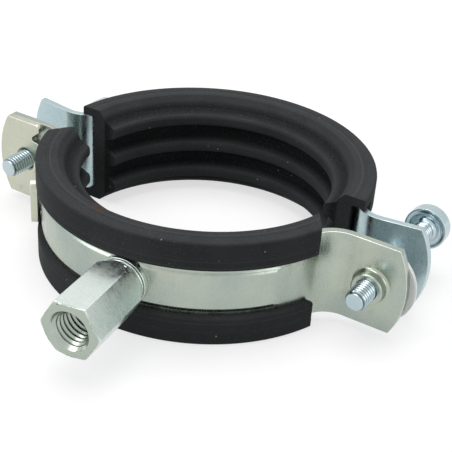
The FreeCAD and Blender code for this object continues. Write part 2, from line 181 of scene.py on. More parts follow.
def make_zinc(name, tone_a, tone_b, stain, rough, stain_amount, shaded=None, shade=None):
    """A zinc finish between two tones; shaded makes a mask of the places that take the darker shade."""
    material, tree, shader = new_material(name)
    effect = add_node(tree, "ShaderNodeGroup", node_tree=zinc_group)
    values = {
        "Tone A": tone_a, "Tone B": tone_b, "Stain": stain, "Rough Low": rough[0], "Rough High": rough[1],
        "Stain Amount": stain_amount,
    }
    for socket, value in values.items():
        effect.inputs[socket].default_value = value
    worn = add_node(tree, "ShaderNodeAttribute", attribute_name="worn").outputs["Fac"]
    color = blend(tree, calc(tree, "MULTIPLY", worn, 0.75), effect.outputs["Color"], WORN_ZINC)
    # The mask's places take a darker colour: painted shade in the thread valleys and the nut's bore, and a darker
    # tone on the face round the nut's mouth.
    if shaded:
        color = blend(tree, calc(tree, "MULTIPLY", shaded(tree), 0.85), color, shade)
    put(tree, shader.inputs["Base Color"], color)
    put(tree, shader.inputs["Roughness"], effect.outputs["Roughness"])
    put(tree, shader.inputs["Normal"], bump(tree, effect.outputs["Height"], 0.4, 0.00002))
    shader.inputs["Metallic"].default_value = 1.0
    return material


print("zinc material ready")

# %% [markdown]
# Two places are darker than the metal round them. The valleys of the rolled screw threads are darkened as painted
# shade, and so are the nut's bore and the cone at its mouth, while the sawn face round the mouth has a darker tone
# of its own. Each has a mask that measures the distance from the axis of its own piece, so it stays in place when
# the piece moves.

# %% Masks for the dark places
NUT_ANGLE = math.radians(7.0)
NUT_AXIS = Vector((math.sin(NUT_ANGLE), -math.cos(NUT_ANGLE), 0))
NUT_MOUTH = 71.6 * MM
SCREW_X = 57.302 * MM
SCREW_TIP = -19.3 * MM
SCREW_SEAT = 25.7 * MM


def painted_thread_shade(tree):
    """A mask of painted shade that is one deep in the threads of the two closing screws, and zero on their crests.
    """
    split = add_node(tree, "ShaderNodeSeparateXYZ")
    put(tree, split.inputs[0], object_place(tree))
    flat = add_node(tree, "ShaderNodeCombineXYZ")
    put(tree, flat.inputs[0], calc(tree, "SUBTRACT", calc(tree, "ABSOLUTE", split.outputs["X"]), SCREW_X))
    put(tree, flat.inputs[1], split.outputs["Z"])
    away = add_node(tree, "ShaderNodeVectorMath", operation="LENGTH")
    put(tree, away.inputs[0], flat.outputs[0])
    deep = remap(tree, away.outputs["Value"], 2.45 * MM, 2.92 * MM, 1.0, 0.0)
    behind_tip = remap(tree, split.outputs["Y"], SCREW_TIP + 0.1 * MM, SCREW_TIP + 0.3 * MM)
    before_neck = remap(tree, split.outputs["Y"], SCREW_SEAT - 1.4 * MM, SCREW_SEAT - 1.2 * MM, 1.0, 0.0)
    return calc(tree, "MULTIPLY", deep, calc(tree, "MULTIPLY", behind_tip, before_neck))


def nut_mouth_tone_and_bore_shade(tree):
    """A mask that is one on the face round the nut's mouth, which has a darker tone, and in its bore, which is
    darkened as painted shade.
    """
    place = object_place(tree)
    along = add_node(tree, "ShaderNodeVectorMath", operation="DOT_PRODUCT")
    put(tree, along.inputs[0], place)
    along.inputs[1].default_value = NUT_AXIS
    across = add_node(tree, "ShaderNodeVectorMath", operation="CROSS_PRODUCT")
    put(tree, across.inputs[0], place)
    across.inputs[1].default_value = NUT_AXIS
    away = add_node(tree, "ShaderNodeVectorMath", operation="LENGTH")
    put(tree, away.inputs[0], across.outputs["Vector"])
    at_mouth = remap(tree, along.outputs["Value"], NUT_MOUTH - 0.5 * MM, NUT_MOUTH - 0.2 * MM)
    in_bore = remap(tree, away.outputs["Value"], 5.2 * MM, 5.4 * MM, 1.0, 0.0)
    return calc(tree, "MAXIMUM", at_mouth, in_bore)


print("zinc masks ready")

# %% [markdown]
# Five finishes come from that one material. Each is two tones, the tint of the pits, the range of roughness and the
# strength of the pits. The tones were matched to the photo, facet by facet.

# %% Zinc finishes
zinc_front = make_zinc(
    "zinc_front_band", (0.35, 0.41, 0.375, 1), (0.43, 0.47, 0.40, 1), (0.20, 0.22, 0.16, 1), (0.20, 0.34), 0.2
)
zinc_lock = make_zinc(
    "zinc_lock_plate", (0.50, 0.52, 0.42, 1), (0.58, 0.59, 0.49, 1), (0.26, 0.25, 0.14, 1), (0.24, 0.38), 0.3
)
zinc_rear = make_zinc(
    "zinc_rear_band", (0.38, 0.51, 0.55, 1), (0.47, 0.58, 0.60, 1), (0.22, 0.25, 0.26, 1), (0.20, 0.34), 0.2
)
# The nut's bore, with the cone at its mouth, takes painted shade; the face round its mouth takes the same darker
# colour as a tone of its own.
zinc_nut = make_zinc(
    "zinc_nut", (0.60, 0.70, 0.69, 1), (0.68, 0.75, 0.71, 1), (0.36, 0.38, 0.31, 1), (0.22, 0.34), 0.15,
    shaded=nut_mouth_tone_and_bore_shade, shade=(0.36, 0.41, 0.35, 1)
)
# The screws take painted shade, nearly black, in their thread valleys.
zinc_screw = make_zinc(
    "zinc_screw", (0.42, 0.53, 0.57, 1), (0.52, 0.61, 0.64, 1), (0.24, 0.30, 0.32, 1), (0.16, 0.28), 0.15,
    shaded=painted_thread_shade, shade=(0.05, 0.08, 0.085, 1)
)
print("zinc materials", len(bpy.data.materials))

# %% [markdown]
# The lining is extruded rubber: matt, charcoal, with long faint lines from the die that run round the ring, a fine
# grain, and pale dust that has settled on it. The lines follow the distance from the pipe's axis, and the grooves
# between the ribs are darkened as painted shade, also by their distance from the axis.

# %% Rubber material
STAIN_SPOT = (-5.5 * MM, -42.1 * MM, 15.2 * MM)
RIB_TOP = 35.9 * MM
GROOVE_END = 39.9 * MM


def ring_place(tree, place):
    """The distance from the pipe's axis, and a place that has no angle, for patterns that run round the ring."""
    split = add_node(tree, "ShaderNodeSeparateXYZ")
    put(tree, split.inputs[0], place)
    flat = add_node(tree, "ShaderNodeCombineXYZ")
    put(tree, flat.inputs[0], split.outputs["X"])
    put(tree, flat.inputs[1], split.outputs["Y"])
    away = add_node(tree, "ShaderNodeVectorMath", operation="LENGTH")
    put(tree, away.inputs[0], flat.outputs[0])
    section = add_node(tree, "ShaderNodeCombineXYZ")
    put(tree, section.inputs[0], away.outputs["Value"])
    put(tree, section.inputs[2], split.outputs["Z"])
    return away.outputs["Value"], section.outputs[0]


def with_dust(tree, place, grain, color):
    """Adds a pale haze and some larger specks of dust, of different sizes, to a colour."""
    dots = add_node(tree, "ShaderNodeTexVoronoi")
    put(tree, dots.inputs["Vector"], place)
    dots.inputs["Scale"].default_value = 380.0
    size = add_node(tree, "ShaderNodeSeparateColor")
    put(tree, size.inputs[0], dots.outputs["Color"])
    reach = remap(tree, size.outputs[0], 0.68, 1.0, 0.0, 0.105)
    dust = remap(tree, calc(tree, "SUBTRACT", reach, dots.outputs["Distance"]), 0.0, 0.02)
    haze = remap(tree, grain, 0.58, 0.76, 0.0, 0.6)
    color = blend(tree, haze, color, (0.12, 0.12, 0.115, 1))
    return blend(tree, calc(tree, "MULTIPLY", dust, 0.7), color, (0.40, 0.40, 0.38, 1))


def with_stain(tree, place, color):
    """Adds one brown stain, a few millimetres wide and broken up by noise."""
    stain_place = add_node(tree, "ShaderNodeVectorMath", operation="DISTANCE")
    put(tree, stain_place.inputs[0], place)
    stain_place.inputs[1].default_value = STAIN_SPOT
    stain = remap(tree, stain_place.outputs["Value"], 0.8 * MM, 3.2 * MM, 0.7, 0.0)
    rust = calc(tree, "MULTIPLY", stain, remap(tree, noise(tree, place, 700.0), 0.40, 0.60))
    return blend(tree, rust, color, (0.10, 0.055, 0.030, 1))


def make_rubber():
    material, tree, shader = new_material("rubber")
    place = object_place(tree)
    radius, section = ring_place(tree, place)
    die_lines = noise(tree, section, 1300.0, 3.0, 0.6)
    cloud = noise(tree, place, 70.0, 4.0, 0.6)
    grain = noise(tree, place, 2200.0, 3.0, 0.6)
    color = blend(tree, remap(tree, cloud, 0.35, 0.65), (0.037, 0.040, 0.042, 1), (0.049, 0.052, 0.054, 1))
    color = blend(tree, remap(tree, die_lines, 0.58, 0.72, 0.0, 0.7), color, (0.080, 0.083, 0.083, 1))
    # The grooves between the ribs are darkened towards black as painted shade.
    from_rib = remap(tree, radius, RIB_TOP, RIB_TOP + 2.2 * MM)
    groove_shade = calc(tree, "MULTIPLY", from_rib, remap(tree, radius, GROOVE_END - 0.9 * MM, GROOVE_END, 0.8, 0.0))
    color = blend(tree, groove_shade, color, (0.010, 0.011, 0.012, 1))
    color = with_stain(tree, place, with_dust(tree, place, grain, color))
    put(tree, shader.inputs["Base Color"], color)
    put(tree, shader.inputs["Roughness"], remap(tree, cloud, 0.3, 0.7, 0.58, 0.72))
    shader.inputs["Specular IOR Level"].default_value = 0.04
    height = calc(tree, "ADD", calc(tree, "MULTIPLY", die_lines, 1.2), grain)
    put(tree, shader.inputs["Normal"], bump(tree, height, 0.5, 0.00006))
    return material


rubber = make_rubber()
print("rubber has", len(rubber.node_tree.nodes), "nodes")

# %% [markdown]
# The disc behind the right ear is thin whitish plastic that lets some light through, so it glows at its rim.

# %% Plastic material
def make_plastic():
    material, tree, shader = new_material("plastic")
    place = object_place(tree)
    cloud = noise(tree, place, 160.0, 3.0, 0.5)
    worn = add_node(tree, "ShaderNodeAttribute", attribute_name="worn").outputs["Fac"]
    color = blend(tree, remap(tree, cloud, 0.3, 0.7), (0.92, 0.95, 0.94, 1), (0.96, 0.98, 0.97, 1))
    put(tree, shader.inputs["Base Color"], blend(tree, worn, color, (0.98, 0.99, 0.99, 1)))
    put(tree, shader.inputs["Roughness"], remap(tree, noise(tree, place, 900.0), 0.3, 0.7, 0.30, 0.45))
    shader.inputs["Specular IOR Level"].default_value = 1.0
    shader.inputs["Coat Weight"].default_value = 1.0
    shader.inputs["Coat Roughness"].default_value = 0.25
    shader.inputs["Subsurface Weight"].default_value = 0.25
    shader.inputs["Subsurface Radius"].default_value = (0.001, 0.001, 0.001)
    return material


plastic = make_plastic()
finish_of = {
    "front_band": zinc_front,
    "rear_band": zinc_rear,
    "lock_plate": zinc_lock,
    "connection_nut": zinc_nut,
    "left_screw": zinc_screw,
    "right_screw": zinc_screw,
    "front_lining": rubber,
    "rear_lining": rubber,
    "retaining_disc": plastic,
}
print("finishes", len(finish_of))

# %% [markdown]
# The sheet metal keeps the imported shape. Its mesh is loose triangles, so a copy is merged into clean faces,
# and then a bevel rounds only the edges that are really sharp. A finished piece rides on the body of the
# node that it stands for.

# %% Softened copies of the sheet metal
def merged_copy(node):
    """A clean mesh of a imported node: points merged, flat faces joined."""
    mesh = bmesh.new()
    mesh.from_mesh(nodes[node].data)
    bmesh.ops.remove_doubles(mesh, verts=mesh.verts, dist=0.0005 * MM)
    bmesh.ops.dissolve_degenerate(mesh, edges=mesh.edges, dist=0.0005 * MM)
    bmesh.ops.dissolve_limit(
        mesh, angle_limit=math.radians(0.2), verts=mesh.verts, edges=mesh.edges, use_dissolve_boundaries=False
    )
    return mesh


def open_edges(mesh):
    """Edges with a face on one side only."""
    return [edge for edge in mesh.edges if len(edge.link_faces) == 1]


def edges_between(mesh, low, high, wanted=lambda edge: True):
    """Edges whose two faces meet at an angle in a range of degrees."""
    found = []
    for edge in mesh.edges:
        if len(edge.link_faces) == 2 and low < math.degrees(edge.calc_face_angle(0.0)) < high and wanted(edge):
            found.append(edge)
    return found


def round_edges(mesh, edges, width, segments=2, wear=True):
    """Rounds the edges, and masks the new faces as worn."""
    made = bmesh.ops.bevel(
        mesh, geom=edges, offset=width, offset_type="OFFSET", segments=segments,
        profile=0.5, affect="EDGES", clamp_overlap=False, material=-1,
    )
    if wear:
        layer = mesh.loops.layers.float.get("worn") or mesh.loops.layers.float.new("worn")
        for face in made["faces"]:
            if face.is_valid:
                for corner in face.loops:
                    corner[layer] = 1.0
    return len(edges)


def body_of(node):
    bodies = frame["record"]["behaviour"]["bodies"]
    return next(body for body, members in bodies.items() if node in members)


def place_piece(mesh, name, node, sharp_degrees=50.0):
    """Makes the finished object from a mesh that already lies at its place."""
    data = bpy.data.meshes.new(name)
    mesh.to_mesh(data)
    mesh.free()
    piece = bpy.data.objects.new(name, data)
    bpy.context.scene.collection.objects.link(piece)
    data.shade_smooth()
    data.set_sharp_from_angle(angle=math.radians(sharp_degrees))
    piece.modifiers.new("weighted_normals", "WEIGHTED_NORMAL").keep_sharp = True
    data.materials.append(finish_of[node])
    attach(piece, body_of(node))
    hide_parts(node)
    print(piece.name, "faces", len(data.polygons))
    return piece


print("helpers for softened copies ready")

# %% [markdown]
# The pressed bead has soft shoulders, so its outer edges get a wide bevel of three segments, except where it
# runs out towards the ears. The sheared rims get a narrow one, just enough to catch the light.

# %% Bands, lock plate and disc
BAND_OUTSIDE = 45.5 * MM
BEAD_FULL_ANGLE = 55.0
SHOULDER_WIDTH = 0.45 * MM
BAND_RIM = 0.16 * MM
PLATE_RIM = 0.14 * MM
DISC_RIM = 0.2 * MM


def on_bead(edge):
    """True on the outside of a band's pressed bead, where it has its full height."""
    middle = (edge.verts[0].co + edge.verts[1].co) / 2
    from_front = abs(math.degrees(math.atan2(middle.x, abs(middle.y))))
    outside = middle.xy.length > BAND_OUTSIDE - 0.05 * MM
    return outside and from_front < BEAD_FULL_ANGLE and 4.5 * MM < abs(middle.z) < 6.3 * MM


for node in ("front_band", "rear_band"):
    band = merged_copy(node)
    beads = round_edges(band, edges_between(band, 38, 50, on_bead), SHOULDER_WIDTH, 3, wear=False)
    rims = round_edges(band, edges_between(band, 75, 105), BAND_RIM)
    print(node, "bead edges", beads, "rim edges", rims)
    place_piece(band, node + "_sheet", node, 30.0)

for node, width in (("lock_plate", PLATE_RIM), ("retaining_disc", DISC_RIM)):
    plate = merged_copy(node)
    round_edges(plate, edges_between(plate, 75, 105), width)
    place_piece(plate, node + "_soft", node)

# %% [markdown]
# The lining is one extruded section that follows the ring, so it is spun from its section instead of copied.
# Half of the section is written down, in millimetres from the pipe's axis and from half height: the lip
# outside the band, the flange, the bevel inside it and the ribs. The other half is its mirror image.

# %% Section of the lining
def rib(height):
    """Corners of one rib, from its upper to its lower root."""
    half = [(39.0, 3.0), (36.7, 1.9), (35.86, 1.63), (35.5, 0.8)]
    above = [(radius, height + away) for radius, away in half]
    below = [(radius, height - away) for radius, away in reversed(half)]
    return above + below


LIP = [(45.5, 7.05), (47.5, 7.05), (47.5, 15.25)]
FLANGE_TOP = [(44.75, 15.25), (44.65, 15.17), (44.45, 15.17), (44.35, 15.25), (41.5, 15.25), (39.9, 13.65)]
HALF_CHANNEL = [(43.5, 12.5), (45.5, 12.5)]
upper = LIP + FLANGE_TOP + rib(9.0)
lower = [(radius, -height) for radius, height in reversed(LIP + FLANGE_TOP)]
channel = [(radius, -height) for radius, height in reversed(HALF_CHANNEL)] + HALF_CHANNEL
section_points = upper + rib(0.0) + rib(-9.0) + lower + channel
OUTER_ROUND = 0.75 * MM
RIB_ROUND = 0.28 * MM
print("section corners", len(section_points))


def section_outline(mesh):
    """The section as a closed wire at angle zero, with its corners rounded."""
    corners = [mesh.verts.new((radius * MM, 0, height * MM)) for radius, height in section_points]
    face = mesh.faces.new(corners)
    outer = [v for v in corners if v.co.x > 47.4 * MM]
    ribs = [v for v in corners if v.co.x < 41.6 * MM]
    for group, width in ((outer, OUTER_ROUND), (ribs, RIB_ROUND)):
        bmesh.ops.bevel(
            mesh, geom=group, offset=width, offset_type="OFFSET", segments=3,
            profile=0.5, affect="VERTICES", clamp_overlap=True, material=-1,
        )
    bmesh.ops.delete(mesh, geom=list(mesh.faces), context="FACES_ONLY")
    return list(mesh.verts) + list(mesh.edges)


def spun_ring(start_degrees, degrees, steps):
    """The lining's section, spun about the pipe's axis and closed at both ends."""
    mesh = bmesh.new()
    outline = section_outline(mesh)
    turn = Matrix.Rotation(math.radians(start_degrees), 3, "Z")
    bmesh.ops.rotate(mesh, cent=(0, 0, 0), matrix=turn, verts=mesh.verts)
    bmesh.ops.spin(
        mesh, geom=outline, cent=(0, 0, 0), axis=(0, 0, 1), angle=math.radians(degrees), steps=steps,
        use_duplicate=False, use_normal_flip=False, use_merge=False,
    )
    bmesh.ops.holes_fill(mesh, edges=open_edges(mesh), sides=0)
    bmesh.ops.recalc_face_normals(mesh, faces=mesh.faces)
    return mesh


# %% [markdown]
# The ends of a lining aren't plain: the lips end earlier than the rest. Plain blocks are placed where rubber
# has to go, and one exact Boolean modifier for each of them takes it away. The evaluated mesh is the result.

# %% Blocks that cut
def box_object(low, high, turn=0.0, pivot=(0, 0)):
    """A block between two corners in millimetres, turned about an upright line through the pivot."""
    mesh = bmesh.new()
    bmesh.ops.create_cube(mesh, size=1.0)
    size = [(b - a) * MM for a, b in zip(low, high)]
    centre = Vector([(a + b) / 2 * MM for a, b in zip(low, high)])
    bmesh.ops.scale(mesh, vec=size, verts=mesh.verts)
    bmesh.ops.translate(mesh, vec=centre, verts=mesh.verts)
    about = Vector((pivot[0] * MM, pivot[1] * MM, 0))
    bmesh.ops.rotate(mesh, cent=about, matrix=Matrix.Rotation(turn, 3, "Z"), verts=mesh.verts)
    data = bpy.data.meshes.new("cutter")
    mesh.to_mesh(data)
    mesh.free()
    block = bpy.data.objects.new("cutter", data)
    bpy.context.scene.collection.objects.link(block)
    return block


def cut_away(mesh, blocks):
    """Takes the blocks out of a closed mesh and returns what is left."""
    data = bpy.data.meshes.new("uncut")
    mesh.to_mesh(data)
    mesh.free()
    whole = bpy.data.objects.new("uncut", data)
    bpy.context.scene.collection.objects.link(whole)
    for block in blocks:
        cut = whole.modifiers.new("cut", "BOOLEAN")
        cut.operation = "DIFFERENCE"
        cut.solver = "EXACT"
        cut.object = block
    shown = whole.evaluated_get(bpy.context.evaluated_depsgraph_get())
    left = bmesh.new()
    left.from_mesh(bpy.data.meshes.new_from_object(shown))
    for item in [whole] + blocks:
        bpy.data.objects.remove(item)
    return left


def mirrored_blocks(low, high, turn=0.0, pivot=(0, 0)):
    """The same block at the right and at the left closure."""
    right = box_object(low, high, turn, pivot)
    left = box_object((-high[0], low[1], low[2]), (-low[0], high[1], high[2]), -turn, (-pivot[0], pivot[1]))
    return [right, left]


print("cutting helpers ready")

# %% [markdown]
# The rear lining ends square, and the front one on a slope next to the ears. The lips end a little before
# that, where the band leaves its circle to form the ears. All values are in millimetres.

# %% Cuts of the two linings
FAR = 120.0
REAR_END = 3.8
REAR_LIP_END = 9.45
rear_cuts = [box_object((-FAR, -FAR, -FAR), (FAR, REAR_END, FAR))]
rear_cuts += mirrored_blocks((43.9, -20, -12.5), (60, REAR_LIP_END, 12.5))
FRONT_END = -9.3
FRONT_CORNER = (40.44, -9.3)
FRONT_LIP_END = -15.87
FRONT_SLOPE = math.atan2(FRONT_CORNER[1] - FRONT_LIP_END, 44.77 - FRONT_CORNER[0])
front_cuts = [box_object((-FAR, FRONT_END, -FAR), (FAR, FAR, FAR))]
front_cuts += mirrored_blocks((20, FRONT_CORNER[1], -FAR), (FAR, FAR, FAR), -FRONT_SLOPE, FRONT_CORNER)
front_cuts += mirrored_blocks((42.25, FRONT_LIP_END, -12.5), (60, 20, 12.5))
print("cuts", len(rear_cuts), "and", len(front_cuts))

# %% [markdown]
# Cutting leaves knife edges. They are found by the planes that they lie in, and a bevel of 0.15 mm takes the
# sharpness off, as on rubber that was cut to length.

# %% Linings
CUT_EDGE = 0.15 * MM


def at_cut(planes):
    """A test for edges that lie in one of the cut planes."""
    def wanted(edge):
        for point, normal in planes:
            if all(abs((vert.co - point).dot(normal)) < 0.004 * MM for vert in edge.verts):
                return True
        return False
    return wanted


def upright_plane(x, y, degrees):
    """A point and the normal of an upright plane; at zero degrees it lies along X."""
    turn = math.radians(degrees)
    return Vector((x * MM, y * MM, 0)), Vector((-math.sin(turn), math.cos(turn), 0))


slope_degrees = math.degrees(FRONT_SLOPE)
rear_planes = [upright_plane(0, REAR_END, 0), upright_plane(0, REAR_LIP_END, 0)]
front_planes = [
    upright_plane(0, FRONT_END, 0),
    upright_plane(0, FRONT_LIP_END, 0),
    upright_plane(FRONT_CORNER[0], FRONT_CORNER[1], -slope_degrees),
    upright_plane(-FRONT_CORNER[0], FRONT_CORNER[1], slope_degrees),
]
for node, start, cuts, planes in (
    ("rear_lining", 0, rear_cuts, rear_planes),
    ("front_lining", 180, front_cuts, front_planes),
):
    lining = cut_away(spun_ring(start, 180, 90), cuts)
    bmesh.ops.remove_doubles(lining, verts=lining.verts, dist=0.002 * MM)
    cut_edges = edges_between(lining, 40, 140, at_cut(planes))
    round_edges(lining, cut_edges, CUT_EDGE, 2, wear=False)
    print(node, "cut edges", len(cut_edges))
    place_piece(lining, node + "_rubber", node, 38.0)

# %% [markdown]
# A thread is a small profile that climbs as it turns. The spin operator does both at once: its dvec moves
# the profile along the axis at each step. A profile one pitch long meets itself after each turn.

# %% Thread helper
def spin_thread(mesh, profile, origin, axis, side, pitch, turns, around):
    """Spins a profile of (along, radius) pairs, one pitch long, up the axis."""
    first = [mesh.verts.new(origin + axis * along + side * radius) for along, radius in profile]
    edges = [mesh.edges.new(pair) for pair in zip(first, first[1:])]
    before = set(mesh.faces)
    bmesh.ops.spin(
        mesh, geom=first + edges, cent=origin, axis=axis, dvec=axis * (pitch / around),
        angle=2 * math.pi * turns, steps=around * turns,
        use_duplicate=False, use_normal_flip=False, use_merge=False,
    )
    faces = [face for face in mesh.faces if face not in before]
    verts = list({vert for face in faces for vert in face.verts})
    bmesh.ops.remove_doubles(mesh, verts=verts, dist=0.004 * MM)
    return [face for face in mesh.faces if face not in before]


def trim(mesh, faces, origin, axis, along, keep_above):
    """Cuts a thread off square to its axis, and returns the open rim."""
    verts = {vert for face in faces for vert in face.verts}
    edges = {edge for face in faces for edge in face.edges}
    made = bmesh.ops.bisect_plane(
        mesh, geom=list(verts) + list(edges) + list(faces), dist=0.001 * MM,
        plane_co=origin + axis * along, plane_no=axis,
        clear_inner=keep_above, clear_outer=not keep_above,
    )
    return [item for item in made["geom_cut"] if isinstance(item, bmesh.types.BMEdge)]


print("thread helpers ready")

# %% [markdown]
# A closing screw is M6, with a pitch of one millimetre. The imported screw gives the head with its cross
# recess. Below it come a stepped bearing face, a short neck and the rolled thread with a tapered tip.

# %% Screw shank
SCREW_PITCH = 1.0 * MM
SCREW_TURNS = 45
NECK_LENGTH = 1.4 * MM
TIP_RADIUS = 2.3 * MM
TIP_SLOPE = 0.8
thread_m6 = [(0, 2.98), (0.13, 2.98), (0.47, 2.42), (0.56, 2.38), (0.65, 2.42), (1.0, 2.98)]
ALONG_Y = Vector((0, 1, 0))


def make_screw_shank(mesh, centre):
    """Spins the thread from the tip to the neck, closes both ends and tapers the tip."""
    profile = [(along * MM, radius * MM) for along, radius in thread_m6]
    start = centre + ALONG_Y * (SCREW_TIP - SCREW_PITCH)
    faces = spin_thread(mesh, profile, start, ALONG_Y, Vector((1, 0, 0)), SCREW_PITCH, SCREW_TURNS, 40)
    tip_rim = trim(mesh, faces, centre, ALONG_Y, SCREW_TIP, True)
    bmesh.ops.holes_fill(mesh, edges=tip_rim, sides=0)
    shank = [face for face in mesh.faces if face.calc_center_median().y < SCREW_SEAT - 0.2 * MM]
    top_rim = trim(mesh, shank, centre, ALONG_Y, SCREW_SEAT - NECK_LENGTH, False)
    bmesh.ops.holes_fill(mesh, edges=top_rim, sides=0)
    for vert in {vert for face in shank if face.is_valid for vert in face.verts}:
        away = vert.co - centre
        away.y = 0
        most = TIP_RADIUS + (vert.co.y - SCREW_TIP) * TIP_SLOPE
        if away.length > most:
            vert.co -= away * (1 - most / away.length)


print("shank is threaded for", round((SCREW_SEAT - NECK_LENGTH - SCREW_TIP) / MM, 1), "mm")

# %% [markdown]
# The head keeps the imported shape, with its cross recess. Its bearing face is built again by insets, which
# leave the shallow ring of a pressed head, and a turned neck joins it to the shank.

# %% Screws
BEARING_STEPS = ((0.7, 0.0), (0.12, -0.14), (1.1, 0.0), (0.12, 0.14))
NECK = ((-1.9, 0), (-1.9, 2.6), (-0.8, 2.62), (-0.3, 2.95), (0.05, 3.5), (0.05, 0))


def turned_solid(mesh, profile, centre, around=48):
    """A closed turned piece from (along, radius) pairs that start and end on the axis."""
    places = [centre + ALONG_Y * (along * MM) + Vector((radius * MM, 0, 0)) for along, radius in profile]
    first = [mesh.verts.new(place) for place in places]
    edges = [mesh.edges.new(pair) for pair in zip(first, first[1:])]
    bmesh.ops.spin(
        mesh, geom=first + edges, cent=centre, axis=ALONG_Y, angle=2 * math.pi, steps=around,
        use_duplicate=False, use_normal_flip=False, use_merge=True,
    )


def make_screw(node, side):
    """The whole screw at the right closure (side 1) or the left one (side -1)."""
    mesh = merged_copy(node)
    below = [face for face in mesh.faces if face.calc_center_median().y < SCREW_SEAT + 0.01 * MM]
    bmesh.ops.delete(mesh, geom=below, context="FACES")
    bearing = bmesh.ops.holes_fill(mesh, edges=open_edges(mesh), sides=0)["faces"]
    for thickness, depth in BEARING_STEPS:
        bmesh.ops.inset_region(mesh, faces=bearing, thickness=thickness * MM, depth=depth * MM, use_even_offset=True)
    round_edges(mesh, edges_between(mesh, 75, 105), 0.12 * MM)
    centre = Vector((side * SCREW_X, 0, 0))
    make_screw_shank(mesh, centre)
    turned_solid(mesh, [(SCREW_SEAT / MM + along, radius) for along, radius in NECK], centre)
    bmesh.ops.remove_doubles(mesh, verts=mesh.verts, dist=0.002 * MM)
    bmesh.ops.recalc_face_normals(mesh, faces=mesh.faces)
    return place_piece(mesh, node + "_threaded", node, 40.0)


make_screw("left_screw", -1)
make_screw("right_screw", 1)

# %% [markdown]
# The connection nut is turned from hexagon bar. Its bore carries two threads in line, M10 at the mouth and
# M8 behind it, so one nut fits both rods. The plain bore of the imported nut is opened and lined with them.
# In the photo a flat of the hexagon faces up, so the hexagon is turned by 30 degrees about its own axis.

# %% Body of the nut
NUT_STEP = 59.6 * MM
NUT_FLOOR = 48.5 * MM
NUT_PITCH = 1.5 * MM
NUT_NECK = 48.6 * MM
HEXAGON_TURN = math.radians(30.0)
BORE_EDGE = 5.45 * MM


def from_nut_axis(spot):
    """The part of a place that points away from the nut's axis, and the distance along the axis."""
    along = spot.dot(NUT_AXIS)
    return spot - NUT_AXIS * along, along


def open_bore(mesh):
    """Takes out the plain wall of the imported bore."""
    bore = []
    for face in mesh.faces:
        away, along = from_nut_axis(face.calc_center_median())
        if away.length < BORE_EDGE and face.normal.dot(away) < 0 and abs(face.normal.dot(NUT_AXIS)) < 0.95:
            bore.append(face)
    bmesh.ops.delete(mesh, geom=bore, context="FACES")


def in_body(face):
    """True for faces of the hexagonal body and for the end face of the round neck behind it."""
    return from_nut_axis(face.calc_center_median())[1] > NUT_NECK - 0.01 * MM


def turn_hexagon(mesh):
    """Parts the body from the neck, closes both and turns the body and the neck's end about the axis."""
    bmesh.ops.split(mesh, geom=[face for face in mesh.faces if in_body(face)])
    inner = [edge for edge in open_edges(mesh) if from_nut_axis(edge.verts[0].co)[1] < NUT_MOUTH - 0.1 * MM]
    bmesh.ops.holes_fill(mesh, edges=inner, sides=0)
    hexagon = list({vert for face in mesh.faces if in_body(face) for vert in face.verts})
    bmesh.ops.rotate(mesh, cent=(0, 0, 0), matrix=Matrix.Rotation(HEXAGON_TURN, 3, NUT_AXIS), verts=hexagon)


print("nut body starts at", round(NUT_NECK / MM, 1), "mm")

# %% [markdown]
# The two threads are one spin with the M10 profile. Behind the step its radii are narrowed to those of M8,
# and at the mouth they widen to the cone that guides the rod in. The rim is then bridged to the mouth's face.

# %% Connection nut
M10_CORE = 4.25 * MM
M8_CORE = 3.4 * MM
CONE_RADIUS = 5.5 * MM
THREAD_DEPTH_RATIO = 0.8
CONE_SLOPE = 0.9
nut_side = Vector((math.cos(NUT_ANGLE), math.sin(NUT_ANGLE), 0))
thread_m10 = [(0, 4.25), (0.30, 4.25), (0.70, 5.0), (0.90, 5.0), (1.30, 4.25), (1.5, 4.25)]


def line_bore(mesh):
    """Spins the thread, narrows it behind the step and widens it to a cone at the mouth."""
    hull = set(mesh.faces)
    profile = [(along * MM, radius * MM) for along, radius in thread_m10]
    start = NUT_AXIS * (NUT_FLOOR - NUT_PITCH)
    faces = spin_thread(mesh, profile, start, NUT_AXIS, nut_side, NUT_PITCH, 17, 48)
    trim(mesh, faces, Vector(), NUT_AXIS, NUT_MOUTH, False)
    faces = [face for face in mesh.faces if face not in hull]
    floor_rim = trim(mesh, faces, Vector(), NUT_AXIS, NUT_FLOOR, True)
    bmesh.ops.holes_fill(mesh, edges=floor_rim, sides=0)
    for vert in {vert for face in mesh.faces if face not in hull for vert in face.verts}:
        away, along = from_nut_axis(vert.co)
        if along < NUT_STEP:
            wanted = M8_CORE + (away.length - M10_CORE) * THREAD_DEPTH_RATIO
        else:
            wanted = max(away.length, CONE_RADIUS - (NUT_MOUTH - along) * CONE_SLOPE)
        if away.length > 0.1 * MM:
            vert.co += away * (wanted / away.length - 1)


def make_nut():
    mesh = merged_copy("connection_nut")
    open_bore(mesh)
    turn_hexagon(mesh)
    round_edges(mesh, edges_between(mesh, 24, 120), 0.22 * MM, 2)
    line_bore(mesh)
    lip = open_edges(mesh)
    bmesh.ops.bridge_loops(mesh, edges=lip)
    bmesh.ops.recalc_face_normals(mesh, faces=mesh.faces)
    print("nut lip edges", len(lip), "open edges", len(open_edges(mesh)))
    return place_piece(mesh, "connection_nut_threaded", "connection_nut", 40.0)


make_nut()

# %% [markdown]
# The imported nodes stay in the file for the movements. They get the same finishes, so that a node shown by
# itself never has a bare surface.

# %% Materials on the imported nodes
for node, finish in finish_of.items():
    piece = nodes[node]
    if not piece.material_slots:
        piece.data.materials.append(finish)
    for place_slot in piece.material_slots:
        place_slot.material = finish
print("painted", len(finish_of))

# %% [markdown]
# The part is shown on a plain white floor in soft light. The floor keeps a soft shadow from its own colour,
# and a glow that only the camera and reflections see lifts it to the white of the background. The glow grows
# with the distance, where the lamps no longer reach, so that no horizon shows.

# %% Floor
FLOOR_Z = -15.25 * MM


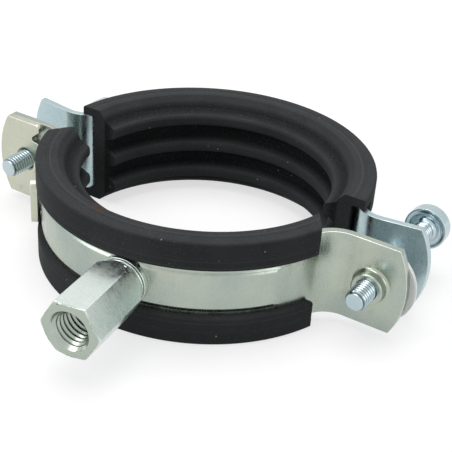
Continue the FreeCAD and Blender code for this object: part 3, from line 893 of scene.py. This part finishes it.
def make_floor():
    mesh = bmesh.new()
    bmesh.ops.create_grid(mesh, x_segments=1, y_segments=1, size=3.0)
    bmesh.ops.translate(mesh, vec=(0, 0, FLOOR_Z), verts=mesh.verts)
    data = bpy.data.meshes.new("floor")
    mesh.to_mesh(data)
    mesh.free()
    floor = bpy.data.objects.new("floor", data)
    bpy.context.scene.collection.objects.link(floor)
    material, tree, shader = new_material("floor_white")
    shader.inputs["Base Color"].default_value = (0.38, 0.38, 0.38, 1)
    shader.inputs["Roughness"].default_value = 0.9
    shader.inputs["Specular IOR Level"].default_value = 0.1
    path = add_node(tree, "ShaderNodeLightPath")
    seen = calc(tree, "MAXIMUM", path.outputs["Is Camera Ray"], path.outputs["Is Glossy Ray"])
    seen = calc(tree, "MAXIMUM", seen, path.outputs["Is Transmission Ray"])
    away = add_node(tree, "ShaderNodeVectorMath", operation="LENGTH")
    put(tree, away.inputs[0], object_place(tree))
    glow = remap(tree, away.outputs["Value"], 0.15, 0.70, 0.66, 1.0)
    shader.inputs["Emission Color"].default_value = (1, 1, 1, 1)
    put(tree, shader.inputs["Emission Strength"], calc(tree, "MULTIPLY", seen, glow))
    data.materials.append(material)
    return floor


make_floor()
print("floor at", round(FLOOR_Z / MM, 2), "mm")

# %% [markdown]
# Three wide lamps stand well away from the part, and the surroundings are brightest overhead. Rays that
# light matt surfaces see a gradient, while the camera, metal and plastic see the white background.

# %% Lamps and surroundings
def make_lamp(name, place, size, power):
    lamp = bpy.data.lights.new(name, "AREA")
    lamp.shape = "RECTANGLE"
    lamp.size, lamp.size_y = size
    lamp.energy = power
    holder = bpy.data.objects.new(name, lamp)
    bpy.context.scene.collection.objects.link(holder)
    holder.location = place
    holder.rotation_mode = "QUATERNION"
    holder.rotation_quaternion = (-Vector(place)).to_track_quat("-Z", "Y")
    return holder


make_lamp("overhead", (-0.10, 0.10, 0.85), (0.7, 0.7), 4.4)
make_lamp("front_left", (-0.45, -0.55, 0.45), (0.4, 0.4), 1.6)
make_lamp("right", (0.80, -0.10, 0.30), (0.4, 0.5), 0.8)


def make_world():
    world = bpy.data.worlds.new("studio")
    bpy.context.scene.world = world
    world.use_nodes = True
    tree = world.node_tree
    tree.nodes.clear()
    path = add_node(tree, "ShaderNodeLightPath")
    split = add_node(tree, "ShaderNodeSeparateXYZ")
    put(tree, split.inputs[0], add_node(tree, "ShaderNodeTexCoord").outputs["Generated"])
    level = remap(tree, split.outputs["Z"], 0.0, 0.9, 0.03, 0.72)
    light = add_node(tree, "ShaderNodeBackground")
    put(tree, light.inputs["Strength"], level)
    white = add_node(tree, "ShaderNodeBackground")
    white.inputs["Color"].default_value = (1, 1, 1, 1)
    seen = calc(tree, "MAXIMUM", path.outputs["Is Camera Ray"], path.outputs["Is Transmission Ray"])
    seen = calc(tree, "MAXIMUM", seen, path.outputs["Is Glossy Ray"])
    choose = add_node(tree, "ShaderNodeMixShader")
    put(tree, choose.inputs[0], seen)
    put(tree, choose.inputs[1], light.outputs[0])
    put(tree, choose.inputs[2], white.outputs[0])
    put(tree, add_node(tree, "ShaderNodeOutputWorld").inputs[0], choose.outputs[0])


make_world()
print("lamps", len(bpy.data.lights))

# %% [markdown]
# The camera stands about 300 mm away, 30 degrees round to the right and 31 degrees above the part. It is
# rolled by 4 degrees, as the photo was, and looks past the middle of the ring.

# %% Camera
AZIMUTH = math.radians(30.3015)
ELEVATION = math.radians(30.6627)
ROLL = math.radians(3.9626)
DISTANCE = 300.863 * MM
LENS_PIXELS = 1047.97
SHIFT_RIGHT = 6.0893 * MM
SHIFT_UP = -6.8499 * MM
PICTURE_PIXELS = 452.0

back = Vector((
    math.sin(AZIMUTH) * math.cos(ELEVATION),
    -math.cos(AZIMUTH) * math.cos(ELEVATION),
    math.sin(ELEVATION),
))
level_right = (-back).cross(Vector((0, 0, 1))).normalized()
level_up = level_right.cross(-back)
right = level_right * math.cos(ROLL) + level_up * math.sin(ROLL)
up = level_up * math.cos(ROLL) - level_right * math.sin(ROLL)
lens = bpy.data.cameras.new("camera")
lens.sensor_width = 36.0
lens.lens = LENS_PIXELS / PICTURE_PIXELS * lens.sensor_width
lens.clip_start = 0.01
camera = bpy.data.objects.new("camera", lens)
bpy.context.scene.collection.objects.link(camera)
turn = Matrix((right, up, back)).transposed().to_4x4()
camera.matrix_world = Matrix.Translation(back * DISTANCE + right * SHIFT_RIGHT + up * SHIFT_UP) @ turn
bpy.context.scene.camera = camera
bpy.context.scene.view_settings.view_transform = "Standard"
print("lens", round(lens.lens, 2), "mm")
